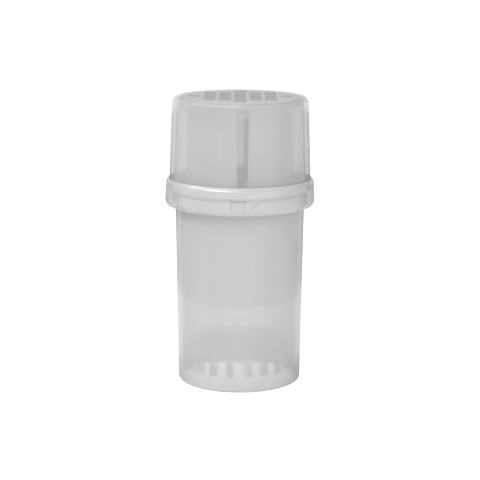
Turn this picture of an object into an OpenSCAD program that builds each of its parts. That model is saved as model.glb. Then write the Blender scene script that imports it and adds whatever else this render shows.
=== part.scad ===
// Turn-type queen cage: a tapered body, a turning collar with a slotted guide tube,
// a foam plunger that climbs a helical groove, and a lift-off cap with a marking grid.
// Millimetres, +Z up, origin at the centre of the foot. The front faces -Y.

/* [Outside] */
// Height from the table to the top of the cap
total_h = 88.1; // [87:0.1:92]
// Radius of the turning collar at its widest
collar_r = 23; // [22.9:0.1:24]
// Height of the collar's lower edge
collar_z = 54.7; // [54:0.1:55.5]
// Height of the collar with its sloping shoulder
collar_h = 8.9; // [8.6:0.1:9.4]
// Radius of the collar's rounded lower edge
collar_edge_r = 1.9; // [1:0.1:2]
// Radius of the cap where it enters the collar
cap_base_r = 21.55; // [21.4:0.05:21.6]
// Radius of the cap just below its rounded rim
cap_top_r = 20.75; // [20.6:0.05:20.9]
// Radius of the cap's rounded rim
rim_r = 2; // [1.6:0.1:2.2]
// Radius of the body under the collar
body_top_r = 19.7; // [19.6:0.05:19.8]
// Radius of the body at the foot
body_foot_r = 18.9; // [18.8:0.05:19.2]
// Radius of the rounded edge of the foot
foot_edge_r = 0.8; // [0.4:0.1:0.9]

/* [Turning mechanism] */
// Outer radius of the guide tube
guide_r = 16.3; // [16.2:0.05:16.35]
// Wall of the guide tube
guide_wall = 1.1; // [1:0.05:1.2]
// Height of the guide tube's top edge
guide_top_z = 83.4; // [82:0.1:83.5]
// Angle from the front to the first guide slot
slot_deg = 2; // [0:1:4]
// Width of the guide tube's straight slots, too narrow for a queen
guide_slot_w = 3.6; // [3.5:0.05:3.8]
// Rise of the helical groove in one full turn
helix_lead = 44; // [43:1:48]
// Rise of the plunger from its lowest to its highest place
plunger_travel = 22; // [20:0.5:22]
// Wall of the sleeve that holds the helical grooves
sleeve_wall = 1.67; // [1.6:0.01:1.7]

/* [Plunger] */
// Radius of the foam pad
pad_r = 14.8; // [14:0.1:14.9]
// Thickness of the foam pad
pad_h = 7; // [6:0.5:8]
// Radius of the carrier's two round lugs
lug_r = 1.7; // [1.6:0.05:1.75]

/* [Marking grid] */
// Clear width of each opening in the grid
mesh_gap = 3.4; // [3:0.1:3.8]
// Width of the bars between the openings
mesh_bar = 1.2; // [1:0.1:1.4]
// Number of nibs on the ring that holds the grid
nib_count = 10; // [6:1:12]

/* [Base plug] */
// Height of the underside of the raised floor
floor_z = 9.8; // [9:0.1:10.5]
// Thickness of the raised floor
floor_t = 1.6; // [1.2:0.1:2]
// Number of ribs in the plug's skirt
rib_count = 20; // [12:1:22]
// Width of each rib
rib_w = 2.2; // [1.6:0.1:2.6]

/* [Cap keys] */
// Width of each of the cap's two key ribs at its upper end
key_top_w = 4.2; // [3.6:0.1:4.6]
// Width of each key rib at its lower end
key_low_w = 2.9; // [2.6:0.1:3.2]

/* [Fits] */
// Radial clearance of a face that turns or slides on another
running_gap = 0.08; // [0.04:0.01:0.1]
// Clearance between parts that only pass each other
free_gap = 0.15; // [0.1:0.01:0.18]

/* [Hidden] */
$fn = 128;
cut = 0.5;              // how far a cutting shape runs past the face it opens
arc_steps = 10;         // straight steps in a quarter of a rounded outline

// Body: a counterbore for the sleeve above the ledge, a plain bore below it
sleeve_in_r = guide_r + running_gap;
sleeve_out_r = sleeve_in_r + sleeve_wall;
body_bore_r = sleeve_out_r + 0.05;
body_low_r = 17.6;
ledge_z = 28;
neck_z = 57.7;
bead_z = 3.7;
bead_h = 0.8;
bead_r = 17.1;

// Stops: one lug on the side of the neck, and a rib round the back of the collar's inside
stop_deg = 0;
stop_lug_w = 4.2;
stop_lug_z = collar_z + 0.3;
stop_lug_h = 2.6;
stop_lug_r = body_top_r + 0.8;
stop_rib_r = body_top_r + 0.25;
collar_bore_r = stop_lug_r + free_gap;
turn_deg = plunger_travel / helix_lead * 360;
stop_half_deg = atan(stop_lug_w / 2 / stop_lug_r) + 1.2;

// Washer between neck and collar, and the collar's web above it
washer_in_r = body_bore_r + 0.1;
washer_h = 0.8;
web_z = neck_z + washer_h + 0.1;
web_h = 1.4;
seat_z = web_z + web_h;
collar_top_z = collar_z + collar_h;
collar_mouth_r = cap_base_r + free_gap;
shoulder_drop = 1.4;
shoulder_r = 22.58;

// Guide tube: its flange sits on the web, its lower end carries the retaining ring
guide_in_r = guide_r - guide_wall;
guide_low_z = 25.6;
slot_low_z = 29.8;
flange_r = 17.8;
flange_h = 0.8;
ring_z = 26.6;
ring_h = 1.2;
ring_groove_r = 15.9;
ring_out_r = 17.3;
ring_open_deg = 24;

// Plunger at its lowest place
carrier_r = guide_in_r - 0.1;
carrier_wall = 1.5;
carrier_low_z = 30.2;
carrier_top_z = 53.4;
lug_z = 32.2;
lug_out_r = sleeve_out_r - 0.6;
groove_r = sleeve_out_r - 0.45;
groove_w = 10.2;
groove_low_z = lug_z - 2.2;
groove_steps = 48;
rim_lip_h = 1;

// Cap on the collar's spigot, grid and ring
cap_wall = 1.45;
spigot_r = cap_base_r - cap_wall - free_gap;
spigot_h = 3;
spigot_wall = 0.9;
cap_lip_r = 17.7;
cap_lip_t = 0.9;
cap_in_top_r = cap_top_r - cap_wall;
grid_flange_z = total_h - cap_lip_t - 0.8;
grid_ring_in_r = 17.3;
grid_ring_r = 18.5;
grid_ring_h = 1.9;
nib_w = 1.1;
vent_r = 1.2;
vent_count = 10;
vent_ring_r = 10.5;
front_deg = -90;

// Key ribs of the cap: a wide back on the wall and a tongue in the guide slot
key_low_z = seat_z + flange_h + 0.3;
key_tongue_w = guide_slot_w - 2 * free_gap;
key_tongue_r = 15.5;
key_back_r = guide_r + 0.3;
key_notch_w = key_low_w + 4 * free_gap;

// Index mark sunk into the front of the collar: a panel and a rising bar beside it
mark_r = collar_r - 0.35;
mark_w = 4.4;
mark_h = 4.4;
mark_x = -0.55;
mark_z = collar_z + 0.6 + mark_h / 2;
bar_w = 0.7;
bar_length = 4.1;
bar_deg = 32;
bar_x = 5.3;
bar_z = mark_z + 0.8;

// Points along an arc in an outline, from angle a to angle b
function arc_points(centre, r, a, b) = [
    for (i = [0 : arc_steps])
        let (t = a + (b - a) * i / arc_steps)
            [centre[0] + r * cos(t), centre[1] + r * sin(t)]
];

// A plain round tube between two heights
module tube(outer, inner, low, high) {
    difference() {
        translate([0, 0, low]) cylinder(r = outer, h = high - low);
        translate([0, 0, low - cut]) cylinder(r = inner, h = high - low + 2 * cut);
    }
}

// Copies its children to the front and back guide slots
module at_slots() {
    for (turn = [0, 180])
        rotate(front_deg + slot_deg + turn) children();
}

// A radial slot for a lug, as wide as w, out to radius r
module radial_slot(w, r, low, high) {
    translate([guide_in_r - 2, -w / 2, low])
        cube([r - guide_in_r + 2, w, high - low]);
}

module body_shell() {
    color([0.86, 0.86, 0.86, 0.5]) {
        rotate_extrude() polygon(concat(
            arc_points([body_foot_r - foot_edge_r, foot_edge_r], foot_edge_r, -90, 0),
            [
                [body_top_r, collar_z], [body_top_r, neck_z],
                [body_bore_r, neck_z], [body_bore_r, ledge_z],
                [body_low_r, ledge_z], [body_low_r, bead_z + bead_h],
                [bead_r, bead_z + bead_h], [body_low_r, bead_z],
                [body_low_r, 0]
            ]
        ));
        rotate(stop_deg)
            intersection() {
                tube(stop_lug_r, body_top_r - 0.2, stop_lug_z, stop_lug_z + stop_lug_h);
                translate([body_top_r - 2, -stop_lug_w / 2, stop_lug_z - cut])
                    cube([4, stop_lug_w, stop_lug_h + 2 * cut]);
            }
    }
}

module helical_groove() {
    rise = neck_z - groove_low_z + cut;
    translate([0, 0, groove_low_z])
        rotate((groove_low_z - lug_z) * 360 / helix_lead)
            linear_extrude(height = rise, twist = -rise * 360 / helix_lead, slices = groove_steps, $fn = 8)
                intersection() {
                    circle(r = groove_r, $fn = 64);
                    translate([guide_in_r - 1, -groove_w / 2])
                        square([4, groove_w]);
                }
}

module drive_sleeve() {
    color([0.9, 0.9, 0.9, 0.4])
        difference() {
            tube(sleeve_out_r, sleeve_in_r, ledge_z, neck_z);
            at_slots() helical_groove();
        }
}

module base_plug() {
    skirt_r = body_low_r - 0.05;
    skirt_z = bead_z + bead_h;
    gap = 2 * PI * skirt_r / rib_count - rib_w;
    color([0.9, 0.9, 0.9, 0.6])
        difference() {
            union() {
                translate([0, 0, floor_z]) cylinder(r = skirt_r, h = floor_t);
                tube(skirt_r, skirt_r - 1.6, skirt_z, floor_z + 0.2);
            }
            for (i = [0 : rib_count - 1])
                rotate(front_deg + i * 360 / rib_count)
                    translate([skirt_r - 3, -gap / 2, skirt_z - cut])
                        cube([4, gap, floor_z - skirt_z - 0.8 + cut]);
            for (i = [0 : vent_count - 1])
                rotate(i * 360 / vent_count)
                    translate([vent_ring_r, 0, floor_z - cut])
                        cylinder(r = vent_r, h = floor_t + 2 * cut);
        }
}

module friction_washer() {
    color([0.78, 0.78, 0.78])
        tube(body_top_r - 0.1, washer_in_r, neck_z, neck_z + washer_h);
}

// The sunk mark, as the solid that is cut away
module index_mark() {
    reach = 3;
    difference() {
        rotate(front_deg) {
            translate([mark_r - reach, mark_x - mark_w / 2, mark_z - mark_h / 2])
                cube([2 * reach, mark_w, mark_h]);
            translate([0, bar_x, bar_z])
                rotate([bar_deg, 0, 0])
                    translate([mark_r - reach, -bar_length / 2, -bar_w / 2])
                        cube([2 * reach, bar_length, bar_w]);
        }
        translate([0, 0, collar_z - cut]) cylinder(r = mark_r, h = collar_h + 2 * cut);
    }
}

module turn_collar() {
    color([0.9, 0.9, 0.9, 0.5]) {
        difference() {
            union() {
                rotate_extrude() polygon(concat(
                    [[collar_bore_r, collar_z]],
                    arc_points([collar_r - collar_edge_r, collar_z + collar_edge_r],
                               collar_edge_r, -90, 0),
                    [
                        [shoulder_r, collar_top_z - shoulder_drop],
                        [collar_mouth_r, collar_top_z], [collar_mouth_r, seat_z],
                        [guide_r + 0.05, seat_z], [guide_r + 0.05, web_z], [collar_bore_r, web_z]
                    ]
                ));
                tube(spigot_r, spigot_r - spigot_wall, seat_z - 0.2, seat_z + spigot_h);
            }
            at_slots() radial_slot(guide_slot_w, lug_out_r + 0.3, web_z - cut, seat_z + cut);
            at_slots()
                translate([spigot_r - spigot_wall - cut, -key_notch_w / 2, key_low_z - cut])
                    cube([spigot_wall + 1.2 * cut, key_notch_w, spigot_h]);
            index_mark();
        }
        rotate(stop_deg + stop_half_deg)
            rotate_extrude(angle = 360 - turn_deg - 2 * stop_half_deg)
                translate([stop_rib_r, stop_lug_z + 0.3])
                    square([collar_bore_r - stop_rib_r + 0.2, stop_lug_h - 0.4]);
    }
}

module guide_tube() {
    color([0.88, 0.88, 0.88, 0.5])
        difference() {
            union() {
                tube(guide_r, guide_in_r, guide_low_z, guide_top_z);
                tube(flange_r, guide_r - 0.2, seat_z, seat_z + flange_h);
            }
            tube(guide_r + cut, ring_groove_r, ring_z, ring_z + ring_h);
            at_slots() radial_slot(guide_slot_w, flange_r + cut, slot_low_z, guide_top_z + cut);
        }
}

module retaining_ring() {
    gap = 0.03;
    color([0.82, 0.82, 0.82])
        rotate(front_deg + 90 + ring_open_deg / 2)
            rotate_extrude(angle = 360 - ring_open_deg)
                translate([ring_groove_r + gap, ring_z + gap])
                    square([ring_out_r - ring_groove_r - gap, ring_h - 2 * gap]);
}

module pad_carrier() {
    color([0.93, 0.93, 0.93, 0.7])
        difference() {
            union() {
                translate([0, 0, carrier_low_z])
                    cylinder(r = carrier_r, h = carrier_top_z + rim_lip_h - carrier_low_z);
                at_slots()
                    translate([0, 0, lug_z]) rotate([0, 90, 0]) cylinder(r = lug_r, h = lug_out_r);
            }
            translate([0, 0, carrier_low_z - cut])
                cylinder(r = carrier_r - carrier_wall, h = carrier_top_z - carrier_wall - carrier_low_z + cut);
            translate([0, 0, carrier_top_z])
                cylinder(r = pad_r, h = rim_lip_h + cut);
        }
}

module foam_pad() {
    color([0.97, 0.97, 0.96])
        translate([0, 0, carrier_top_z]) cylinder(r = pad_r - 0.05, h = pad_h);
}

// One key rib, lying along +X
module cap_key() {
    high_z = guide_top_z - 0.2;
    translate([key_back_r, 0, 0]) rotate([90, 0, 90])
        linear_extrude(height = cap_top_r - 0.4 - key_back_r)
            polygon([
                [-key_low_w / 2, key_low_z], [key_low_w / 2, key_low_z],
                [key_top_w / 2, high_z], [-key_top_w / 2, high_z]
            ]);
    translate([key_tongue_r, -key_tongue_w / 2, key_low_z])
        cube([key_back_r - key_tongue_r + 0.1, key_tongue_w, high_z - key_low_z]);
}

module cage_cap() {
    rim_z = total_h - rim_r;
    inside_top_z = total_h - cap_lip_t;
    color([0.86, 0.86, 0.86, 0.5]) {
        at_slots() cap_key();
        rotate_extrude() polygon(concat(
            [[cap_base_r, seat_z], [cap_base_r, collar_top_z]],
            arc_points([cap_top_r - rim_r, rim_z], rim_r, 0, 90),
            [
                [cap_lip_r, total_h], [cap_lip_r, inside_top_z],
                [cap_in_top_r, inside_top_z], [cap_in_top_r, rim_z],
                [cap_base_r - cap_wall, collar_top_z], [cap_base_r - cap_wall, seat_z]
            ]
        ));
    }
}

module marking_grid() {
    pitch = mesh_gap + mesh_bar;
    reach = 3;
    field_r = cap_lip_r - 2;
    color([0.85, 0.85, 0.85, 0.8]) {
        difference() {
            union() {
                translate([0, 0, grid_flange_z])
                    cylinder(r = cap_in_top_r - 0.15, h = total_h - cap_lip_t - grid_flange_z);
                translate([0, 0, grid_flange_z])
                    cylinder(r = cap_lip_r - free_gap, h = total_h - 0.1 - grid_flange_z);
            }
            translate([0, 0, grid_flange_z - cut])
                linear_extrude(height = 4)
                    intersection() {
                        circle(r = field_r);
                        for (i = [-reach : reach], j = [-reach : reach])
                            translate([i * pitch, j * pitch]) square(mesh_gap, center = true);
                    }
        }
    }
}

module grid_ring() {
    low = grid_flange_z - grid_ring_h;
    color([0.92, 0.92, 0.92, 0.6]) {
        tube(grid_ring_r, grid_ring_in_r, low, grid_flange_z);
        for (i = [0 : nib_count - 1])
            rotate(front_deg + slot_deg + (i + 0.5) * 360 / nib_count)
                translate([grid_ring_r - 0.2, 0, grid_flange_z - 0.2 - nib_w])
                    cylinder(r = nib_w / 2, h = nib_w);
    }
}

body_shell();
drive_sleeve();
base_plug();
friction_washer();
turn_collar();
guide_tube();
retaining_ring();
pad_carrier();
foam_pad();
cage_cap();
marking_grid();
grid_ring();
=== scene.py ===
"""A turn-type queen cage: fine meshes, frosted plastics, soft studio light and a camera."""
import math

import bmesh
import bpy
from mathutils import Matrix, Vector, noise


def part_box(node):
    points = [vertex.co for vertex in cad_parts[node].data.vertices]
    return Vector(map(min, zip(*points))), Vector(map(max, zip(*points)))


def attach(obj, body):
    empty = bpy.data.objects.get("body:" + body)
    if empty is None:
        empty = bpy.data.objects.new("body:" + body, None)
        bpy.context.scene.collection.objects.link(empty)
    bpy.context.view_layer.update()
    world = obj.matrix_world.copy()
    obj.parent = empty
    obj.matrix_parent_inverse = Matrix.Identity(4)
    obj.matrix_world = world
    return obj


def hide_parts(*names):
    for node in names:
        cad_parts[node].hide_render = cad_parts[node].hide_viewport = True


bl_info = {
    "name": "Queen Cage Looks",
    "version": (1, 0, 0),
    "blender": (4, 5, 0),
    "location": "3D View > Sidebar > Queen Cage",
    "description": "Builds the visible mouldings of a turn-type queen cage round its packed frame",
    "category": "Object",
}

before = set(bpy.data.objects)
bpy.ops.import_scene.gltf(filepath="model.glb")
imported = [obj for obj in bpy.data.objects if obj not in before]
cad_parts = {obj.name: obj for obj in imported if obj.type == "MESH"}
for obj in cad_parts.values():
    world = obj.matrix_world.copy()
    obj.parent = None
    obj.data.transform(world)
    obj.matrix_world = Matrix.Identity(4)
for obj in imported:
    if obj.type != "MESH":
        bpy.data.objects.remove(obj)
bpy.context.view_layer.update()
MM = 0.001
FRONT = -math.pi / 2    # the direction that faces the camera, in radians from +X
SHARP_DEG = 38          # faces that meet at more than this keep a hard edge


# ---------------------------------------------------------------- colours and nodes

def linear(colour_hex):
    """sRGB hex, such as "#C8C8C8", to linear red, green and blue."""
    parts = [int(colour_hex[i:i + 2], 16) / 255 for i in (1, 3, 5)]
    return tuple(c / 12.92 if c <= 0.04045 else ((c + 0.055) / 1.055) ** 2.4 for c in parts)


def add(tree, kind, inputs=None, **settings):
    """Adds a node. settings are its properties; inputs give its sockets a value or a link."""
    node = tree.nodes.new(kind)
    for key, value in settings.items():
        setattr(node, key, value)
    for key, value in (inputs or {}).items():
        socket = node.inputs[key]
        if isinstance(value, bpy.types.NodeSocket):
            tree.links.new(value, socket)
        else:
            socket.default_value = value
    return node


def per_metre(pattern_mm):
    """The Scale that makes a pattern repeat about every pattern_mm millimetres."""
    return 1 / (pattern_mm * MM)


def new_material(name):
    """An empty node material with its output, for a surface to be linked to."""
    material = bpy.data.materials.new(name)
    material.use_nodes = True
    material.node_tree.nodes.clear()
    return material, material.node_tree


def natural_polypropylene(name, colour, opacity, roughness, rim_opacity, gloss=0.5, soak=0.2):
    """Natural polypropylene, injection moulded: milky and half see-through, with soft reflections.

    The haze is thicker where the melt flowed slowly, so the tone drifts over about 5 mm round the
    wall and 40 mm up it, in the faint streaks of a part that was filled from one end. The wall has
    shallow sinks that bend its reflections, and a fine spark-eroded grain from the mould. Light
    from the far side soaks through, by the share soak, so hollow parts stay bright inside."""
    material, tree = new_material(name)
    place = add(tree, "ShaderNodeTexCoord").outputs["Object"]
    drawn_out = add(tree, "ShaderNodeMapping", {"Vector": place, "Scale": (1.0, 1.0, 0.125)})
    flow = add(tree, "ShaderNodeTexNoise", {
        "Vector": drawn_out.outputs["Vector"], "Scale": per_metre(5),
        "Detail": 3.0, "Roughness": 0.5,
    })
    tone = add(tree, "ShaderNodeMix", {
        "Factor": flow.outputs["Fac"],
        "A": tuple(c * 0.955 for c in colour) + (1.0,),
        "B": tuple(min(1.0, c * 1.045) for c in colour) + (1.0,),
    }, data_type="RGBA")
    sink = add(tree, "ShaderNodeTexNoise",
               {"Vector": place, "Scale": per_metre(22), "Detail": 1.0, "Roughness": 0.4})
    sink_bump = add(tree, "ShaderNodeBump",
                    {"Height": sink.outputs["Fac"], "Strength": 0.35, "Distance": 0.5 * MM})
    grit = add(tree, "ShaderNodeTexNoise",
               {"Vector": place, "Scale": per_metre(0.5), "Detail": 2.0, "Roughness": 0.6})
    grit_bump = add(tree, "ShaderNodeBump", {
        "Height": grit.outputs["Fac"], "Strength": 0.1, "Distance": 0.05 * MM,
        "Normal": sink_bump.outputs["Normal"],
    })
    # A slanted look through the wall meets more milky plastic, so the shell closes at its edges.
    facing = add(tree, "ShaderNodeLayerWeight", {"Blend": 0.5}).outputs["Facing"]
    steep = add(tree, "ShaderNodeMath", {0: facing, 1: 3.0}, operation="POWER")
    veil = add(tree, "ShaderNodeMapRange", {
        "Value": steep.outputs["Value"], "To Min": opacity, "To Max": rim_opacity,
    })
    shader = add(tree, "ShaderNodeBsdfPrincipled", {
        "Base Color": tone.outputs["Result"], "Roughness": roughness, "IOR": 1.49,
        "Specular IOR Level": gloss, "Alpha": veil.outputs["Result"],
        "Normal": grit_bump.outputs["Normal"],
    })
    through = add(tree, "ShaderNodeBsdfTranslucent", {"Color": tone.outputs["Result"]})
    blend = add(tree, "ShaderNodeMixShader",
                {0: soak, 1: shader.outputs["BSDF"], 2: through.outputs["BSDF"]})
    add(tree, "ShaderNodeOutputMaterial", {"Surface": blend.outputs["Shader"]})
    return material


def paint_key_rib_shade(material, low_mm, high_mm, low_width, high_width):
    """Paints shade into a cap's tone: a tapering band over each key rib, where the rib holds the
    light back.

    The band runs from low_mm to high_mm, and is low_width and high_width wide at its ends."""
    tree = material.node_tree
    place = add(tree, "ShaderNodeTexCoord").outputs["Object"]
    across = slot_turns()[0] + math.pi / 2
    side = add(tree, "ShaderNodeVectorMath",
               {0: place, 1: (math.cos(across), math.sin(across), 0)}, operation="DOT_PRODUCT")
    from_middle = add(tree, "ShaderNodeMath", {0: side.outputs["Value"]}, operation="ABSOLUTE")
    height = add(tree, "ShaderNodeSeparateXYZ", {"Vector": place}).outputs["Z"]
    half = add(tree, "ShaderNodeMapRange", {
        "Value": height, "From Min": low_mm * MM, "From Max": high_mm * MM,
        "To Min": low_width / 2 * MM, "To Max": high_width / 2 * MM,
    })
    inset = add(tree, "ShaderNodeMath",
                {0: half.outputs["Result"], 1: from_middle.outputs["Value"]},
                operation="SUBTRACT")
    in_width = add(tree, "ShaderNodeMapRange",
                   {"Value": inset.outputs["Value"], "From Max": 0.2 * MM})
    in_height = add(tree, "ShaderNodeMapRange", {
        "Value": height, "From Min": high_mm * MM, "From Max": (high_mm + 0.3) * MM,
        "To Min": 1.0, "To Max": 0.0,
    })
    share = add(tree, "ShaderNodeMath",
                {0: in_width.outputs["Result"], 1: in_height.outputs["Result"]},
                operation="MULTIPLY")
    shader = next(node for node in tree.nodes if "Base Color" in node.inputs)
    tone = shader.inputs["Base Color"].links[0].from_socket
    # The painted shade: inside the band the tone is mixed towards a mid grey.
    darker = add(tree, "ShaderNodeMix", {
        "Factor": share.outputs["Value"], "A": tone, "B": (0.6, 0.6, 0.6, 1.0),
    }, data_type="RGBA")
    tree.links.new(darker.outputs["Result"], shader.inputs["Base Color"])


def silicone(name, colour):
    """Silicone rubber, die cut: a matt, slightly dusty translucent grey."""
    material, tree = new_material(name)
    place = add(tree, "ShaderNodeTexCoord").outputs["Object"]
    dust = add(tree, "ShaderNodeTexNoise",
               {"Vector": place, "Scale": per_metre(0.8), "Detail": 3.0})
    tone = add(tree, "ShaderNodeMix", {
        "Factor": dust.outputs["Fac"],
        "A": tuple(colour) + (1.0,), "B": tuple(min(1.0, c * 1.12) for c in colour) + (1.0,),
    }, data_type="RGBA")
    bump = add(tree, "ShaderNodeBump",
               {"Height": dust.outputs["Fac"], "Strength": 0.2, "Distance": 0.05 * MM})
    shader = add(tree, "ShaderNodeBsdfPrincipled", {
        "Base Color": tone.outputs["Result"], "Roughness": 0.7, "IOR": 1.41,
        "Normal": bump.outputs["Normal"],
    })
    add(tree, "ShaderNodeOutputMaterial", {"Surface": shader.outputs["BSDF"]})
    return material


def open_cell_foam(name, colour):
    """Polyurethane foam, cut from the block: off-white and matt, with open cells of 0.55 mm whose
    pores carry painted shade.
    """
    material, tree = new_material(name)
    place = add(tree, "ShaderNodeTexCoord").outputs["Object"]
    cells = add(tree, "ShaderNodeTexVoronoi", {"Vector": place, "Scale": per_metre(0.55)})
    blotch = add(tree, "ShaderNodeTexNoise",
                 {"Vector": place, "Scale": per_metre(4), "Detail": 3.0})
    # Painted shade: each cell is darkened towards its middle, for the shade inside the open pores.
    shade = add(tree, "ShaderNodeMapRange", {
        "Value": cells.outputs["Distance"], "From Max": 0.6, "To Min": 0.72, "To Max": 1.0,
    })
    tint = add(tree, "ShaderNodeMix", {
        "Factor": blotch.outputs["Fac"],
        "A": tuple(c * 0.95 for c in colour) + (1.0,), "B": tuple(colour) + (1.0,),
    }, data_type="RGBA")
    tone = add(tree, "ShaderNodeMix", {
        "Factor": 1.0, "A": tint.outputs["Result"], "B": shade.outputs["Result"],
    }, data_type="RGBA", blend_type="MULTIPLY")
    bump = add(tree, "ShaderNodeBump",
               {"Height": cells.outputs["Distance"], "Strength": 0.6, "Distance": 0.25 * MM})
    shader = add(tree, "ShaderNodeBsdfPrincipled", {
        "Base Color": tone.outputs["Result"], "Roughness": 0.95,
        "Sheen Weight": 0.2, "Normal": bump.outputs["Normal"],
    })
    add(tree, "ShaderNodeOutputMaterial", {"Surface": shader.outputs["BSDF"]})
    return material


def stage_surface(name, colour, glow):
    """A matt surface of the studio, with a faint fibre in its tone.

    With a glow it is the opal acrylic of a light table, which keeps little shadow. With a glow
    of 0 it is painted card."""
    material, tree = new_material(name)
    place = add(tree, "ShaderNodeTexCoord").outputs["Object"]
    fibre = add(tree, "ShaderNodeTexNoise",
                {"Vector": place, "Scale": per_metre(3), "Detail": 4.0})
    tone = add(tree, "ShaderNodeMix", {
        "Factor": fibre.outputs["Fac"],
        "A": tuple(c * 0.98 for c in colour) + (1.0,), "B": tuple(colour) + (1.0,),
    }, data_type="RGBA")
    shader = add(tree, "ShaderNodeBsdfPrincipled", {
        "Base Color": tone.outputs["Result"], "Roughness": 0.9,
        "Emission Color": (1.0, 1.0, 1.0, 1.0), "Emission Strength": glow,
    })
    add(tree, "ShaderNodeOutputMaterial", {"Surface": shader.outputs["BSDF"]})
    return material


# ---------------------------------------------------------------- mesh tools

def round_corners(corners, steps=5):
    """A closed outline with its corners rounded, each given as (radius, height, rounding) in mm.

    A rounding too large for the sides it lies between is made smaller."""
    points = []
    count = len(corners)
    for i, (x, y, rounding) in enumerate(corners):
        here = Vector((x, y))
        back = Vector(corners[i - 1][:2]) - here
        ahead = Vector(corners[(i + 1) % count][:2]) - here
        if rounding <= 0 or back.length == 0 or ahead.length == 0:
            points.append((x, y))
            continue
        half = back.angle(ahead) / 2
        room_back = max(0.48 * back.length, back.length - 1.3 * corners[i - 1][2])
        room_ahead = max(0.48 * ahead.length, ahead.length - 1.3 * corners[(i + 1) % count][2])
        reach = min(rounding / math.tan(half), 0.98 * room_back, 0.98 * room_ahead)
        radius = reach * math.tan(half)
        middle = (back.normalized() + ahead.normalized()).normalized()
        centre = here + middle * (radius / math.sin(half))
        start = here + back.normalized() * reach - centre
        end = here + ahead.normalized() * reach - centre
        sweep = start.angle_signed(end)
        for step in range(steps + 1):
            spoke = start.copy()
            spoke.rotate(Matrix.Rotation(-sweep * step / steps, 2))
            points.append(tuple(centre + spoke))
    return points


def new_piece(name, bm):
    """Makes an object of a bmesh, with smooth faces that break only at sharp edges."""
    bmesh.ops.remove_doubles(bm, verts=bm.verts, dist=1e-7)
    bmesh.ops.recalc_face_normals(bm, faces=bm.faces)
    mesh = bpy.data.meshes.new(name)
    bm.to_mesh(mesh)
    bm.free()
    piece = bpy.data.objects.new(name, mesh)
    bpy.context.scene.collection.objects.link(piece)
    smooth(piece)
    return piece


def smooth(piece):
    """Smooth shading, except where two faces meet at more than SHARP_DEG."""
    piece.data.shade_smooth()
    bm = bmesh.new()
    bm.from_mesh(piece.data)
    for edge in bm.edges:
        edge.smooth = (len(edge.link_faces) == 2
                       and edge.calc_face_angle(0) < math.radians(SHARP_DEG))
    bm.to_mesh(piece.data)
    bm.free()


def lathe(name, outline, segments=160, start=0.0, sweep=360.0):
    """Turns a closed outline of (radius, height) points, in mm, about the Z axis.

    start and sweep are in degrees. A sweep under 360 leaves two flat ends."""
    bm = bmesh.new()
    whole = sweep >= 360
    rings = []
    for i in range(segments if whole else segments + 1):
        angle = math.radians(start + sweep * i / segments)
        rings.append([
            bm.verts.new((r * MM * math.cos(angle), r * MM * math.sin(angle), z * MM))
            for r, z in outline
        ])
    for i in range(segments):
        this, following = rings[i], rings[(i + 1) % len(rings)]
        for j in range(len(outline)):
            k = (j + 1) % len(outline)
            bm.faces.new((this[j], following[j], following[k], this[k]))
    if not whole:
        bm.faces.new(rings[0])
        bm.faces.new(rings[-1])
    return new_piece(name, bm)


def turned_disc(name, outline, segments=160):
    """Turns an open outline, whose two ends lie on the Z axis, into a closed solid."""
    bm = bmesh.new()
    inner = outline[1:-1]
    rings = []
    for i in range(segments):
        angle = 2 * math.pi * i / segments
        rings.append([
            bm.verts.new((r * MM * math.cos(angle), r * MM * math.sin(angle), z * MM))
            for r, z in inner
        ])
    first = bm.verts.new((0, 0, outline[0][1] * MM))
    last = bm.verts.new((0, 0, outline[-1][1] * MM))
    for i in range(segments):
        this, following = rings[i], rings[(i + 1) % segments]
        bm.faces.new((first, following[0], this[0]))
        bm.faces.new((last, this[-1], following[-1]))
        for j in range(len(inner) - 1):
            bm.faces.new((this[j], following[j], following[j + 1], this[j + 1]))
    return new_piece(name, bm)


def block(bm, centre, size, turn=0.0):
    """Adds a box to a bmesh, in mm, turned about the Z axis of the cage by turn radians."""
    place = (Matrix.Rotation(turn, 4, "Z")
             @ Matrix.Translation(Vector(centre) * MM)
             @ Matrix.Diagonal((*[s * MM for s in size], 1.0)))
    bmesh.ops.create_cube(bm, size=1.0, matrix=place)


def curved_block(bm, inner, outer, low, high, start, end, slant=0.0, lean=0.0, steps=12):
    """Adds a block bent round the Z axis to a bmesh: radii and heights in mm, angles in radians.

    slant is how far, in mm, its far end lies above its near end, and lean how much smaller its
    inner radius is at the top than at the bottom."""
    rings = []
    for step in range(steps + 1):
        share = step / steps
        angle = start + (end - start) * share
        rise = slant * (share - 0.5)
        rings.append([
            bm.verts.new((r * MM * math.cos(angle), r * MM * math.sin(angle), (z + rise) * MM))
            for r, z in ((inner, low), (outer, low), (outer, high), (inner - lean, high))
        ])
    for near, far in zip(rings, rings[1:]):
        for j in range(4):
            bm.faces.new((near[j], near[(j + 1) % 4], far[(j + 1) % 4], far[j]))
    bm.faces.new(rings[0])
    bm.faces.new(rings[-1])


def tapered_block(bm, inner, outer, low, high, low_width, high_width, turn):
    """Adds a block along a radius to a bmesh, in mm, wider or narrower at its upper end."""
    place = Matrix.Rotation(turn, 4, "Z")
    corners = [
        bm.verts.new(place @ (Vector((r, side * width / 2, z)) * MM))
        for z, width in ((low, low_width), (high, high_width))
        for r, side in ((inner, -1), (outer, -1), (outer, 1), (inner, 1))
    ]
    for face in ((0, 1, 2, 3), (4, 5, 6, 7), (0, 1, 5, 4),
                 (1, 2, 6, 5), (2, 3, 7, 6), (3, 0, 4, 7)):
        bm.faces.new([corners[i] for i in face])


def peg(bm, matrix, radius, length, sides=40):
    """Adds a cylinder to a bmesh, in mm, centred on matrix and along its own Z."""
    bmesh.ops.create_cone(bm, cap_ends=True, segments=sides, radius1=radius * MM,
                          radius2=radius * MM, depth=length * MM, matrix=matrix)


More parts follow.
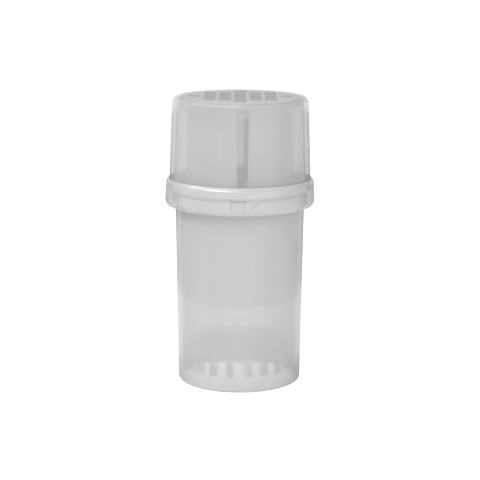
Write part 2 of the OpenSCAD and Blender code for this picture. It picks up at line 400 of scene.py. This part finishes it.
def bake_modifiers(piece):
    """Replaces a piece's mesh by what its modifiers make of it."""
    bpy.context.view_layer.update()
    shaped = piece.evaluated_get(bpy.context.evaluated_depsgraph_get())
    mesh = bpy.data.meshes.new_from_object(shaped)
    mesh.name = piece.name
    piece.modifiers.clear()
    old = piece.data
    piece.data = mesh
    bpy.data.meshes.remove(old)


def combine(piece, bm, operation):
    """Cuts a bmesh out of a piece, or joins it to the piece, as true solids."""
    tool = new_piece("tool", bm)
    boolean = piece.modifiers.new("shape", "BOOLEAN")
    boolean.object = tool
    boolean.operation = operation
    boolean.solver = "EXACT"
    boolean.use_self = operation == "UNION"
    bake_modifiers(piece)
    bpy.data.objects.remove(tool)


def soften(piece, width_mm, steps=2):
    """Rounds every edge that a cut has left sharp."""
    bevel = piece.modifiers.new("edges", "BEVEL")
    bevel.width = width_mm * MM
    bevel.segments = steps
    bevel.limit_method = "ANGLE"
    bevel.angle_limit = math.radians(SHARP_DEG)
    bevel.use_clamp_overlap = True
    bake_modifiers(piece)
    smooth(piece)


def settle(piece, material, slot, body, *nodes):
    """Gives a piece its material and its body, and hides the nodes that it replaces. The slot is
    not used.
    """
    piece.data.materials.clear()
    piece.data.materials.append(material)
    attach(piece, body)
    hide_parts(*nodes)


def hidden_card(name, bm, colour_hex):
    """Makes a studio card of a bmesh that lamps and reflections meet, but not the camera."""
    card = new_piece(name, bm)
    card.data.materials.append(stage_surface("Matt card", linear(colour_hex), 0.0))
    card.visible_camera = False
    card.visible_shadow = False
    return card


def low_high(node):
    """A CAD node's lowest height, highest height and reach along -X, in mm.

    The turn stop's lug lies along +X, so the reach along -X is the radius of the turned form."""
    low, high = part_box(node)
    return low.z / MM, high.z / MM, -low.x / MM


# ---------------------------------------------------------------- properties

class QueenCageSizes(bpy.types.PropertyGroup):
    """Sizes of the mouldings that the frame's boxes don't give."""
    body_foot_radius: bpy.props.FloatProperty(
        name="Foot Radius", description="Radius of the body at its foot",
        default=18.9 * MM, unit="LENGTH", subtype="DISTANCE")
    foot_round: bpy.props.FloatProperty(
        name="Foot Rounding", description="Radius of the rounded edge of the foot",
        default=0.8 * MM, unit="LENGTH", subtype="DISTANCE")
    rim_round: bpy.props.FloatProperty(
        name="Rim Rounding", description="Radius of the cap's rounded rim",
        default=2.0 * MM, unit="LENGTH", subtype="DISTANCE")
    cap_top_radius: bpy.props.FloatProperty(
        name="Cap Top Radius", description="Radius of the cap just under its rim",
        default=20.75 * MM, unit="LENGTH", subtype="DISTANCE")
    cap_wall: bpy.props.FloatProperty(
        name="Cap Wall", description="Thickness of the cap's wall",
        default=1.45 * MM, unit="LENGTH", subtype="DISTANCE")
    collar_round: bpy.props.FloatProperty(
        name="Collar Rounding", description="Radius of the collar's rounded lower edge",
        default=1.9 * MM, unit="LENGTH", subtype="DISTANCE")
    mesh_gap: bpy.props.FloatProperty(
        name="Grid Opening", description="Clear width of each opening in the marking grid",
        default=3.4 * MM, unit="LENGTH", subtype="DISTANCE")
    mesh_bar: bpy.props.FloatProperty(
        name="Grid Bar", description="Width of the bars between the grid's openings",
        default=1.2 * MM, unit="LENGTH", subtype="DISTANCE")
    tube_radius: bpy.props.FloatProperty(
        name="Guide Tube Radius", description="Outer radius of the guide tube",
        default=16.3 * MM, unit="LENGTH", subtype="DISTANCE")
    tube_wall: bpy.props.FloatProperty(
        name="Guide Tube Wall", description="Thickness of the guide tube's wall",
        default=1.1 * MM, unit="LENGTH", subtype="DISTANCE")
    slot_width: bpy.props.FloatProperty(
        name="Slot Width", description="Width of the guide tube's two straight slots",
        default=3.6 * MM, unit="LENGTH", subtype="DISTANCE")
    slot_angle: bpy.props.FloatProperty(
        name="Slot Angle", description="Angle from the front to the first guide slot",
        default=math.radians(2), unit="ROTATION", subtype="ANGLE")
    helix_lead: bpy.props.FloatProperty(
        name="Helix Lead", description="Rise of the sleeve's grooves in one full turn",
        default=44 * MM, unit="LENGTH", subtype="DISTANCE")
    rib_width: bpy.props.FloatProperty(
        name="Rib Width", description="Width of each rib in the base plug's skirt",
        default=2.2 * MM, unit="LENGTH", subtype="DISTANCE")
    rib_count: bpy.props.IntProperty(
        name="Ribs", description="Number of ribs in the base plug's skirt", default=20)
    edge: bpy.props.FloatProperty(
        name="Moulded Edge", description="Rounding of an ordinary moulded edge",
        default=0.25 * MM, unit="LENGTH", subtype="DISTANCE")


class QueenCageColours(bpy.types.PropertyGroup):
    """Colours of the plastics, the foam and the floor."""
    body: bpy.props.FloatVectorProperty(
        name="Body", description="Milky tone of the body",
        size=3, subtype="COLOR", default=linear("#E2E2E2"))
    cap: bpy.props.FloatVectorProperty(
        name="Cap", description="Milky tone of the cap",
        size=3, subtype="COLOR", default=linear("#DCDCDC"))
    collar: bpy.props.FloatVectorProperty(
        name="Collar", description="Milky tone of the turning collar",
        size=3, subtype="COLOR", default=linear("#CECECE"))
    inner: bpy.props.FloatVectorProperty(
        name="Inner Parts", description="Milky tone of the tube, sleeve and base plug",
        size=3, subtype="COLOR", default=linear("#DCDCDC"))
    # The grid's tone is set lower than the other mouldings'. It is partly the grid's own milky
    # tone and partly painted shade of the cap's dim top face.
    grid: bpy.props.FloatVectorProperty(
        name="Grid", description="Milky tone of the marking grid",
        size=3, subtype="COLOR", default=linear("#B4B4B4"))
    foam: bpy.props.FloatVectorProperty(
        name="Foam", description="Colour of the foam pad",
        size=3, subtype="COLOR", default=linear("#E9E8E4"))
    floor: bpy.props.FloatVectorProperty(
        name="Floor", description="Tone of the light table without its lamp",
        size=3, subtype="COLOR", default=linear("#8C8C8C"))


def sizes():
    return bpy.context.scene.queen_cage_sizes


def colours():
    return bpy.context.scene.queen_cage_colours


def slot_turns():
    """The directions of the two guide slots, in radians."""
    return [FRONT + sizes().slot_angle, FRONT + sizes().slot_angle + math.pi]


# ---------------------------------------------------------------- operators

class QUEENCAGE_OT_stage(bpy.types.Operator):
    """Add the floor, the studio lights and the camera"""
    bl_idname = "queencage.stage"
    bl_label = "Stage"

    def execute(self, context):
        scene = context.scene
        scene.view_settings.view_transform = "Standard"
        scene.cycles.transparent_max_bounces = 40    # many thin see-through walls lie in line
        bm = bmesh.new()
        bmesh.ops.create_circle(bm, cap_ends=True, segments=96, radius=9.0)
        floor = new_piece("floor", bm)
        floor.location.z = -0.2 * MM
        floor.data.materials.append(
            stage_surface("Opal acrylic, light table", colours().floor, 0.9))

        world = bpy.data.worlds.new("Studio")
        world.use_nodes = True
        world.node_tree.nodes["Background"].inputs["Color"].default_value = (1, 1, 1, 1)
        world.node_tree.nodes["Background"].inputs["Strength"].default_value = 0.55
        scene.world = world

        # Each lamp: its bearing from the front and its rise in degrees, its distance, width and
        # height in metres, its roll in degrees, and its glow.
        middle = Vector((0, 0, 0.045))
        for name, bearing, rise, reach, across, tall, roll, glow in (
            ("Left window", -14, 12, 0.75, 0.7, 0.7, 0, 0.45),
            ("Right window", 38, 14, 0.75, 0.7, 0.7, 0, 1.3),
            ("Overhead strip", -95, 72, 0.7, 0.75, 0.36, 52, 2.4),
            ("High front tube", -34, 50, 0.7, 0.6, 0.035, 0, 34.0),
            ("High left window", -88, 46, 0.7, 0.3, 0.12, 40, 5.0),
        ):
            data = bpy.data.lights.new(name, "AREA")
            data.shape = "RECTANGLE"
            data.size = across
            data.size_y = tall
            data.energy = math.pi * across * tall * glow
            lamp = bpy.data.objects.new(name, data)
            scene.collection.objects.link(lamp)
            turn = FRONT + math.radians(bearing)
            lift = math.radians(rise)
            offset = Vector((math.cos(turn) * math.cos(lift), math.sin(turn) * math.cos(lift),
                             math.sin(lift))) * reach
            aim = (-offset).to_track_quat("-Z", "Y").to_matrix().to_4x4()
            lamp.matrix_world = (Matrix.Translation(middle + offset) @ aim
                                 @ Matrix.Rotation(math.radians(roll), 4, "Z"))

        # Cards out of the camera's sight: dark ones beside and behind the body draw the dark
        # edges of its clear wall, and a grey one under the foot keeps the table's glow down.
        for side, name in ((-1, "left"), (1, "right")):
            flank = bmesh.new()
            block(flank, (side * 65, 65, 32), (2, 130, 44))
            hidden_card(f"card_{name}", flank, "#303030")
            back = bmesh.new()
            block(back, (side * 95, 110, 35), (140, 2, 70))
            hidden_card(f"card_back_{name}", back, "#202020")
        disc = bmesh.new()
        bmesh.ops.create_circle(disc, cap_ends=True, segments=96, radius=34 * MM)
        hidden_card("card_under", disc, "#B8B8B8").location.z = -0.1 * MM

        data = bpy.data.cameras.new("Camera")
        data.sensor_width = 36
        data.lens = 114.4
        data.clip_start = 0.01
        data.clip_end = 50
        camera = bpy.data.objects.new("Camera", data)
        scene.collection.objects.link(camera)
        camera_rise = math.radians(11.38)
        distance = 0.471
        sight = Vector((0, -math.cos(camera_rise), math.sin(camera_rise)))
        camera.location = middle + sight * distance
        aim = Vector((0.0001, 0, 0.04345))
        turn = (aim - camera.location).to_track_quat("-Z", "Y").to_matrix().to_4x4()
        roll = Matrix.Rotation(math.radians(0.30), 4, "Z")
        camera.matrix_world = Matrix.Translation(camera.location) @ turn @ roll
        scene.camera = camera
        return {"FINISHED"}


class QUEENCAGE_OT_body(bpy.types.Operator):
    """Build the tapered body with its neck and turn stop"""
    bl_idname = "queencage.body"
    bl_label = "Body"

    def execute(self, context):
        s = sizes()
        edge = s.edge / MM
        foot_r = s.body_foot_radius / MM
        _, neck_z, top_r = low_high("body_shell")
        collar_z, _, _ = low_high("turn_collar")
        ledge_z, _, sleeve_r = low_high("drive_sleeve")
        bore_r = sleeve_r + 0.05
        plug_low, _, plug_r = low_high("base_plug")
        low_r = plug_r + 0.05
        outline = round_corners([
            (low_r, 0, 0.2), (foot_r, 0, s.foot_round / MM), (top_r, collar_z, 0),
            (top_r, neck_z, edge), (bore_r, neck_z, edge), (bore_r, ledge_z, 0.1),
            (low_r, ledge_z, 0.15), (low_r, plug_low, 0.05), (low_r - 0.5, plug_low, 0.2),
            (low_r, plug_low - 0.8, 0.3),
        ])
        body = lathe("body_moulding", outline)
        lug = bmesh.new()
        lug_z = collar_z + 0.3
        lug_height = 2.6
        lug_width = 4.2
        half = math.asin(lug_width / 2 / top_r)
        curved_block(lug, top_r - 0.3, top_r + 0.8, lug_z, lug_z + lug_height, -half, half)
        combine(body, lug, "UNION")
        soften(body, 0.15)
        settle(body, natural_polypropylene(
            "Natural polypropylene, body moulding", colours().body, 0.46, 0.26, 0.95, 0.25),
            "body_plastic", "body", "body_shell")
        return {"FINISHED"}


class QUEENCAGE_OT_collar(bpy.types.Operator):
    """Build the turning collar with its web, spigot, stop rib and index mark"""
    bl_idname = "queencage.collar"
    bl_label = "Collar"

    def execute(self, context):
        s = sizes()
        low, top, outer = low_high("turn_collar")
        seat, _, cap_r = low_high("cage_cap")
        _, _, body_r = low_high("body_shell")
        _, washer_top, _ = low_high("friction_washer")
        web = washer_top + 0.1
        bore = body_r + 0.95
        mouth = cap_r + 0.15
        shoulder_r = 22.58
        shoulder_z = top - 1.4
        spigot = cap_r - s.cap_wall / MM - 0.15
        spigot_in = spigot - 0.9
        spigot_top = seat + 3
        tube_r = s.tube_radius / MM + 0.05
        collar = lathe("collar_moulding", round_corners([
            (bore, low, 0.2), (outer, low, s.collar_round / MM), (shoulder_r, shoulder_z, 0.35),
            (mouth, top, 0.12), (mouth, seat, 0.15), (spigot, seat, 0.15),
            (spigot, spigot_top, 0.25), (spigot_in, spigot_top, 0.25), (spigot_in, seat, 0.15),
            (tube_r, seat, 0), (tube_r, web, 0), (bore, web, 0.3),
        ]))
        # The stop rib runs round the back, and its ends meet the body's lug half a turn apart.
        stop = bmesh.new()
        stop_gap = math.radians(7.05)
        curved_block(stop, body_r + 0.25, bore + 0.3, low + 0.6, low + 2.8,
                     stop_gap, math.pi - stop_gap, steps=90)
        combine(collar, stop, "UNION")
        cuts = bmesh.new()
        for turn in slot_turns():
            block(cuts, (16.0, 0, (web + seat) / 2), (4.6, s.slot_width / MM, 2.4), turn)
            block(cuts, (spigot - 0.4, 0, seat + 3.1), (2.0, 3.5, 4.0), turn)
        # The index mark: a square panel and a rising bar, with floors that lean back.
        mark_z = low + 2.8
        curved_block(cuts, outer - 0.15, outer + 1, mark_z - 2.2, mark_z + 2.2,
                     FRONT - 2.75 / outer, FRONT + 1.65 / outer, lean=0.6)
        curved_block(cuts, outer - 0.2, outer + 1, mark_z + 0.4, mark_z + 1.2,
                     FRONT + 3.5 / outer, FRONT + 7.1 / outer, slant=2.2, lean=0.3)
        combine(collar, cuts, "DIFFERENCE")
        soften(collar, 0.12)
        settle(collar, natural_polypropylene(
            "Natural polypropylene, collar moulding", colours().collar,
            0.6, 0.18, 0.6, 1.0, soak=0.08),
            "collar_plastic", "collar", "turn_collar")
        return {"FINISHED"}


class QUEENCAGE_OT_cap(bpy.types.Operator):
    """Build the tall cap with its rounded rim and its two key ribs"""
    bl_idname = "queencage.cap"
    bl_label = "Cap"

    def execute(self, context):
        s = sizes()
        edge = s.edge / MM
        low, top, base_r = low_high("cage_cap")
        _, straight, _ = low_high("turn_collar")
        _, tube_top, _ = low_high("guide_tube")
        rim = s.rim_round / MM
        top_r = s.cap_top_radius / MM
        wall = s.cap_wall / MM
        window_r = 17.7
        ledge_z = top - 0.9
        cap = lathe("cap_moulding", round_corners([
            (base_r - wall, low, edge), (base_r, low, edge), (base_r, straight, 0),
            (top_r, top - rim, 0), (top_r - 0.02, top, rim), (window_r, top, 0.18),
            (window_r, ledge_z, 0.1), (top_r - wall, ledge_z, 0.1),
            (top_r - wall, top - rim, 0), (base_r - wall, straight, 0),
        ], 8))
        key_low = low + 1.1
        key_high = tube_top - 0.2
        tube_r = s.tube_radius / MM
        low_width, high_width = 2.9, 4.2
        tongue_r = 15.5
        tongue_width = s.slot_width / MM - 0.3
        keys = bmesh.new()
        for turn in slot_turns():
            tapered_block(keys, tube_r + 0.3, top_r - 0.4, key_low, key_high,
                          low_width, high_width, turn)
            tapered_block(keys, tongue_r, tube_r + 0.5, key_low, key_high,
                          tongue_width, tongue_width, turn)
        combine(cap, keys, "UNION")
        soften(cap, 0.12)
        plastic = natural_polypropylene(
            "Natural polypropylene, cap moulding", colours().cap, 0.32, 0.13, 0.7, 1.0)
        # Painted shade: a band over each key rib is painted into the cap's tone.
        paint_key_rib_shade(plastic, key_low, top - rim, low_width, high_width)
        settle(cap, plastic, "cap_plastic", "cap", "cage_cap")
        return {"FINISHED"}


class QUEENCAGE_OT_grid(bpy.types.Operator):
    """Build the marking grid and the ring that holds it"""
    bl_idname = "queencage.grid"
    bl_label = "Marking Grid"

    def execute(self, context):
        s = sizes()
        low, top, flange_r = low_high("marking_grid")
        cap_top = low_high("cage_cap")[1]
        step = cap_top - 0.9     # the flange lies under the cap's ledge
        field = 17.55            # radius of the part that fills the cap's window
        outline = [(0, low)] + round_corners([
            (1, low, 0), (flange_r, low, 0.15), (flange_r, step, 0.15),
            (field, step, 0), (field, top, 0.2), (1, top, 0),
        ]) + [(0, top)]
        grid = turned_disc("grid_moulding", outline)
        gap = s.mesh_gap / MM
        pitch = gap + s.mesh_bar / MM
        reach = 15.7             # no opening comes nearer the edge than this radius
        holes = bmesh.new()
        for i in range(-3, 4):
            for j in range(-3, 4):
                corner = (abs(i) * pitch + gap / 2, abs(j) * pitch + gap / 2)
                if math.hypot(*corner) < reach:
                    block(holes, (i * pitch, j * pitch, (low + top) / 2), (gap, gap, 4))
        combine(grid, holes, "DIFFERENCE")
        soften(grid, 0.35, 3)
        # The grid's colour carries painted shade, which darkens the cap's top face.
        settle(grid, natural_polypropylene(
            "Natural polypropylene, grid moulding", colours().grid, 0.9, 0.3, 0.95, soak=0.05),
            "grid_plastic", "cap", "marking_grid")

        ring_low, ring_top, _ = low_high("grid_ring")
        ring_r = 18.5
        ring_in = 17.3
        ring = lathe("grid_ring_moulding", round_corners([
            (ring_in, ring_low, 0.25), (ring_r, ring_low, 0.25),
            (ring_r, ring_top, 0.15), (ring_in, ring_top, 0.15),
        ]))
        nibs = bmesh.new()
        nib_count = 10
        for i in range(nib_count):
            turn = FRONT + s.slot_angle + math.radians((i + 0.5) * 360 / nib_count)
            place = (Matrix.Rotation(turn, 4, "Z")
                     @ Matrix.Translation(Vector((ring_r - 0.2, 0, ring_top - 0.75)) * MM))
            peg(nibs, place, 0.55, 1.1, 24)
        combine(ring, nibs, "UNION")
        soften(ring, 0.08)
        settle(ring, natural_polypropylene(
            "Natural polypropylene, grid ring", colours().inner, 0.45, 0.2, 0.7),
            "grid_ring_plastic", "cap", "grid_ring")
        return {"FINISHED"}


class QUEENCAGE_OT_guide(bpy.types.Operator):
    """Build the slotted guide tube, its retaining ring and the soft washer"""
    bl_idname = "queencage.guide"
    bl_label = "Guide Tube"

    def execute(self, context):
        s = sizes()
        low, top, flange_r = low_high("guide_tube")
        ring_low, ring_top, _ = low_high("retaining_ring")
        seat = low_high("cage_cap")[0]
        outer = s.tube_radius / MM
        inner = outer - s.tube_wall / MM
        groove = outer - 0.4
        groove_low = ring_low - 0.03
        groove_high = ring_top + 0.03
        flange_top = seat + 0.8
        tube = lathe("guide_tube_moulding", round_corners([
            (inner, low, 0.2), (outer, low, 0.3), (outer, groove_low, 0.08),
            (groove, groove_low, 0.08), (groove, groove_high, 0.08),
            (outer, groove_high, 0.08), (outer, seat, 0.1), (flange_r, seat, 0.12),
            (flange_r, flange_top, 0.2), (outer, flange_top, 0.2),
            (outer, top, 0.35), (inner, top, 0.35),
        ]))
        slots = bmesh.new()
        slot_low = low + 4.2
        slot_high = top + 1
        for turn in slot_turns():
            block(slots, (16, 0, (slot_low + slot_high) / 2),
                  (5, s.slot_width / MM, slot_high - slot_low), turn)
        combine(tube, slots, "DIFFERENCE")
        soften(tube, 0.15)
        settle(tube, natural_polypropylene(
            "Natural polypropylene, guide tube", colours().inner, 0.5, 0.2, 0.7),
            "tube_plastic", "collar", "guide_tube")

        ring_in = groove + 0.03
        ring_out = 17.3
        ring = lathe("retaining_ring_moulding", round_corners([
            (ring_in, ring_low, 0.12), (ring_out, ring_low, 0.12),
            (ring_out, ring_top, 0.12), (ring_in, ring_top, 0.12),
        ]), start=math.degrees(FRONT) + 102, sweep=336)
        soften(ring, 0.1)
        settle(ring, natural_polypropylene(
            "Natural polypropylene, retaining ring", colours().inner, 0.2, 0.3, 0.4),
            "ring_plastic", "collar", "retaining_ring")

        washer_low, washer_top, washer_r = low_high("friction_washer")
        bore = low_high("drive_sleeve")[2] + 0.15
        washer = lathe("washer_cut", round_corners([
            (bore, washer_low, 0.15), (washer_r, washer_low, 0.15),
            (washer_r, washer_top, 0.15), (bore, washer_top, 0.15),
        ]))
        settle(washer, silicone("Silicone rubber, friction washer", colours().inner),
               "washer_rubber", "body", "friction_washer")
        return {"FINISHED"}


class QUEENCAGE_OT_sleeve(bpy.types.Operator):
    """Build the sleeve with its two blind helical grooves"""
    bl_idname = "queencage.sleeve"
    bl_label = "Drive Sleeve"

    def execute(self, context):
        s = sizes()
        low, top, outer = low_high("drive_sleeve")
        inner = s.tube_radius / MM + 0.08
        floor_r = outer - 0.45
        groove_low = low + 2
        lug_z = low + 4.2         # where the lugs lie at rest, in line with the slots
        half = 5.1 / inner        # half of a groove's width, as an angle
        blend = 0.2 / inner       # the slope of a groove's wall, as an angle
        corner = 0.25
        # The columns lean with the grooves, so each groove's wall follows one column all the way.
        ramp = [-half - blend, -half, half, half + blend]
        rest = math.pi - 2 * (half + blend)
        columns = []
        for groove in (0, math.pi):
            columns += [groove + ramp[0], groove + ramp[1]]
            columns += [groove - half + 2 * half * i / 10 for i in range(1, 10)]
            columns += [groove + ramp[2], groove + ramp[3]]
            columns += [groove + ramp[3] + rest * i / 24 for i in range(1, 24)]
        heights = [low, low + corner]
        heights += [low + corner + (groove_low - low - corner) * i / 3 for i in (1, 2)]
        heights += [groove_low, groove_low + 0.2]
        rows = 44
        heights += [groove_low + 0.2 + (top - corner - groove_low - 0.2) * i / rows
                    for i in range(1, rows + 1)]
        heights.append(top)

        bm = bmesh.new()
        inside, outside = [], []
        for z in heights:
            lean = FRONT + s.slot_angle + (z - lug_z) / (s.helix_lead / MM) * 2 * math.pi
            end = corner if z in (low, top) else 0.0
            inside.append([])
            outside.append([])
            for column in columns:
                from_groove = min(abs((column - g + math.pi) % (2 * math.pi) - math.pi)
                                  for g in (0, math.pi))
                in_groove = z > groove_low + 0.1 and from_groove < half + blend / 2
                radius = floor_r if in_groove else inner + end
                direction = Vector((math.cos(column + lean), math.sin(column + lean), 0))
                up = Vector((0, 0, z * MM))
                inside[-1].append(bm.verts.new(direction * radius * MM + up))
                outside[-1].append(bm.verts.new(direction * (outer - end) * MM + up))
        count = len(columns)
        for wall in (inside, outside):
            for near, far in zip(wall, wall[1:]):
                for j in range(count):
                    k = (j + 1) % count
                    bm.faces.new((near[j], near[k], far[k], far[j]))
        for row in (0, -1):
            for j in range(count):
                k = (j + 1) % count
                bm.faces.new((inside[row][j], inside[row][k], outside[row][k], outside[row][j]))
        sleeve = new_piece("drive_sleeve_moulding", bm)
        settle(sleeve, natural_polypropylene(
            "Natural polypropylene, drive sleeve", colours().inner, 0.15, 0.25, 0.3),
            "sleeve_plastic", "body", "drive_sleeve")
        return {"FINISHED"}


class QUEENCAGE_OT_plug(bpy.types.Operator):
    """Build the base plug with its ribbed skirt and vents"""
    bl_idname = "queencage.plug"
    bl_label = "Base Plug"

    def execute(self, context):
        s = sizes()
        low, top, outer = low_high("base_plug")
        wall = 1.6
        floor_z = top - wall
        outline = [(0, floor_z)] + round_corners([
            (1, floor_z, 0), (outer - wall, floor_z, 0.3), (outer - wall, low, 0.2),
            (outer, low, 0.25), (outer, top, 0.25), (1, top, 0),
        ]) + [(0, top)]
        plug = turned_disc("base_plug_moulding", outline)
        cuts = bmesh.new()
        count = s.rib_count
        gap = 2 * math.pi * outer / count - s.rib_width / MM
        high = floor_z - 0.8
        for i in range(count):
            turn = FRONT + 2 * math.pi * i / count
            block(cuts, (outer, 0, (low + high) / 2 - 0.5), (6, gap, high - low + 1), turn)
        vent_count = 10
        for i in range(vent_count):
            place = (Matrix.Rotation(math.radians(i * 360 / vent_count), 4, "Z")
                     @ Matrix.Translation(Vector((10.5, 0, floor_z + 0.8)) * MM))
            peg(cuts, place, 1.2, 4)
        combine(plug, cuts, "DIFFERENCE")
        soften(plug, 0.12)
        settle(plug, natural_polypropylene(
            "Natural polypropylene, base plug", colours().inner, 0.35, 0.25, 0.6),
            "plug_plastic", "body", "base_plug")
        return {"FINISHED"}


class QUEENCAGE_OT_carrier(bpy.types.Operator):
    """Build the pad carrier with its two round lugs"""
    bl_idname = "queencage.carrier"
    bl_label = "Pad Carrier"

    def execute(self, context):
        s = sizes()
        low, top, _ = low_high("pad_carrier")
        outer = s.tube_radius / MM - s.tube_wall / MM - 0.1
        inner = outer - 1.5
        lip_r = 14.8
        deck = top - 1
        outline = [(0, deck - 1.5)] + round_corners([
            (1, deck - 1.5, 0), (inner, deck - 1.5, 0.5), (inner, low, 0.3), (outer, low, 0.4),
            (outer, top, 0.12), (lip_r, top, 0.1), (lip_r, deck, 0.1), (1, deck, 0),
        ]) + [(0, deck)]
        carrier = turned_disc("pad_carrier_moulding", outline)
        lugs = bmesh.new()
        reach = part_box("pad_carrier")[1].y / MM
        for turn in slot_turns():
            place = (Matrix.Rotation(turn, 4, "Z")
                     @ Matrix.Translation(Vector(((inner + 0.5 + reach) / 2, 0, low + 2)) * MM)
                     @ Matrix.Rotation(math.pi / 2, 4, "Y"))
            peg(lugs, place, 1.7, reach - inner - 0.5)
        combine(carrier, lugs, "UNION")
        soften(carrier, 0.2)
        settle(carrier, natural_polypropylene(
            "Natural polypropylene, pad carrier", colours().inner, 0.25, 0.3, 0.5),
            "carrier_plastic", "plunger", "pad_carrier")
        return {"FINISHED"}


class QUEENCAGE_OT_foam(bpy.types.Operator):
    """Build the soft foam pad on the plunger"""
    bl_idname = "queencage.foam"
    bl_label = "Foam Pad"

    def execute(self, context):
        low, top, radius = low_high("foam_pad")
        under = low + 0.02
        crest = top - 0.05
        outline = [(0, under)] + [(r, under) for r in (4, 8, 12)]
        outline += round_corners([
            (radius - 1.0, under, 0), (radius - 0.15, under, 0.3),
            (radius - 0.1, (low + top) / 2, 2.0), (radius - 0.15, top - 0.1, 0.9),
            (radius - 2.5, crest, 0),
        ])
        outline += [(r, crest) for r in (11, 9.5, 8, 6.5, 5, 3.5, 2, 0)]
        pad = turned_disc("foam_pad_cushion", outline, 128)
        # Cut foam is a little uneven, and its top falls away towards the edge.
        for v in pad.data.vertices:
            wobble = noise.noise(v.co * per_metre(2.5)) * 0.12 * MM
            crown = max(0.0, 1 - (v.co.xy.length / (radius * MM)) ** 2)
            if v.co.z > (low + top) / 2 * MM:
                v.co.z += min(wobble, 0.0) * (1 - crown) - 0.1 * MM * (1 - crown)
            v.co.x *= 1 + wobble * 4
            v.co.y *= 1 + wobble * 4
        settle(pad, open_cell_foam("Polyurethane foam, open cell", colours().foam),
               "pad_foam", "plunger", "foam_pad")
        return {"FINISHED"}


class QUEENCAGE_PT_panel(bpy.types.Panel):
    """Lists the steps that build the cage"""
    bl_label = "Queen Cage"
    bl_idname = "QUEENCAGE_PT_panel"
    bl_space_type = "VIEW_3D"
    bl_region_type = "UI"
    bl_category = "Queen Cage"

    def draw(self, context):
        for group in (context.scene.queen_cage_sizes, context.scene.queen_cage_colours):
            box = self.layout.box()
            for name in group.__annotations__:
                box.prop(group, name)
        for step in STEPS:
            self.layout.operator(step.bl_idname)


STEPS = (
    QUEENCAGE_OT_stage, QUEENCAGE_OT_body, QUEENCAGE_OT_sleeve, QUEENCAGE_OT_plug,
    QUEENCAGE_OT_collar, QUEENCAGE_OT_guide, QUEENCAGE_OT_carrier, QUEENCAGE_OT_foam,
    QUEENCAGE_OT_cap, QUEENCAGE_OT_grid,
)
CLASSES = (QueenCageSizes, QueenCageColours, *STEPS, QUEENCAGE_PT_panel)


def register():
    for item in CLASSES:
        bpy.utils.register_class(item)
    bpy.types.Scene.queen_cage_sizes = bpy.props.PointerProperty(type=QueenCageSizes)
    bpy.types.Scene.queen_cage_colours = bpy.props.PointerProperty(type=QueenCageColours)


def unregister():
    del bpy.types.Scene.queen_cage_colours
    del bpy.types.Scene.queen_cage_sizes
    for item in reversed(CLASSES):
        bpy.utils.unregister_class(item)


def main():
    register()
    for step in STEPS:
        group, name = step.bl_idname.split(".")
        getattr(getattr(bpy.ops, group), name)()
    bpy.context.view_layer.update()


if __name__ == "__main__":
    main()
